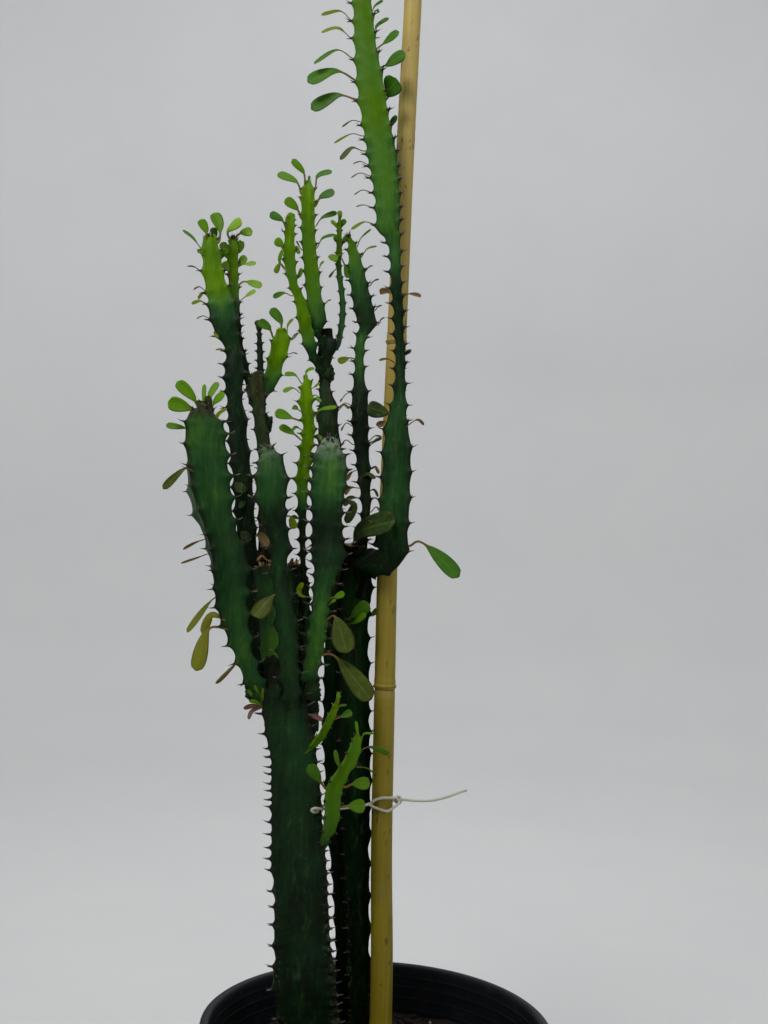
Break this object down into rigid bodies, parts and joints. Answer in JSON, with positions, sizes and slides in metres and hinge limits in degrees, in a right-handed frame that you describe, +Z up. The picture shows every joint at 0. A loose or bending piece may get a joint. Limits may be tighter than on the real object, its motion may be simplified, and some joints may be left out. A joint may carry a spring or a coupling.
{
  "type": "potted euphorbia",
  "caption": "Tall potted euphorbia with three-winged green stems and spoon leaves, tied to a bamboo cane in a round black nursery pot.",
  "frame": {"origin": "centre of the pot's flat base, on the surface it stands on", "axes": "+Z up along the pot's axis and the cane, +X to the right and +Y away from the viewer of the picture"},
  "size_m": [0.3601, 0.3, 1.251],
  "materials": {
    "pot_plastic": "satin black, moulded",
    "soil": "rough dark bark compost",
    "cane": "satin, dry bamboo",
    "string": "matt twisted string",
    "stem_green": "waxy, dark green with pale marks",
    "stem_young": "waxy, lime green",
    "stem_woody": "corky, brown and grey",
    "leaf_green": "soft sheen, mid green",
    "leaf_young": "soft sheen, lime green",
    "leaf_olive": "soft sheen, olive"
  },
  "bodies": {
    "root": {"bamboo_stake": "cane", "branch_back_left": "stem_green", "branch_back_right": "stem_green", "branch_front_left": "stem_green", "branch_front_middle": "stem_green", "branch_front_right": "stem_green", "cut_stub": "stem_woody", "leaf_branch_back_left_1": "leaf_olive", "leaf_branch_front_left_1": "leaf_olive", "leaf_branch_front_left_2": "leaf_olive", "leaf_branch_front_left_3": "leaf_olive", "leaf_branch_front_middle_1": "leaf_olive", "leaf_branch_front_right_1": "leaf_olive", "leaf_branch_front_right_2": "leaf_olive", "leaf_shoot_lime_1": "leaf_young", "leaf_shoot_low_large_1": "leaf_green", "leaf_shoot_low_large_2": "leaf_young", "leaf_shoot_low_large_3": "leaf_young", "leaf_shoot_middle_1": "leaf_young", "leaf_tall_branch_1": "leaf_green", "leaf_tall_branch_2": "leaf_green", "leaf_tall_branch_3": "leaf_green", "leaf_tall_branch_4": "leaf_green", "leaf_tall_branch_5": "leaf_green", "leaf_tall_branch_6": "leaf_green", "leaf_tall_branch_7": "leaf_olive", "leaf_tall_branch_8": "leaf_olive", "leaf_trunk_middle_1": "leaf_olive", "leaf_trunk_middle_2": "leaf_green", "nursery_pot": "pot_plastic", "paddle_small": "stem_young", "shoot_back_left": "stem_green", "shoot_left": "stem_young", "shoot_lime": "stem_young", "shoot_low_large": "stem_young", "shoot_low_small": "stem_young", "shoot_middle": "stem_young", "shoot_right_thin": "stem_young", "soil": "soil", "stem_brown": "stem_woody", "stem_grey": "stem_woody", "tall_branch": "stem_green", "tie_loop": "string", "tie_tail": "string", "trunk_left": "stem_green", "trunk_middle": "stem_green", "tuft_branch_back_left": "leaf_green", "tuft_branch_front_left": "leaf_young", "tuft_paddle_small": "leaf_green", "tuft_shoot_back_left": "leaf_young", "tuft_shoot_left": "leaf_young", "tuft_shoot_lime": "leaf_young", "tuft_shoot_low_large": "leaf_green", "tuft_shoot_low_small": "leaf_green", "tuft_shoot_middle": "leaf_young", "tuft_shoot_right_thin": "leaf_green", "tuft_tall_branch": "leaf_young", "twig_dark": "stem_woody"}
  },
  "joints": []
}
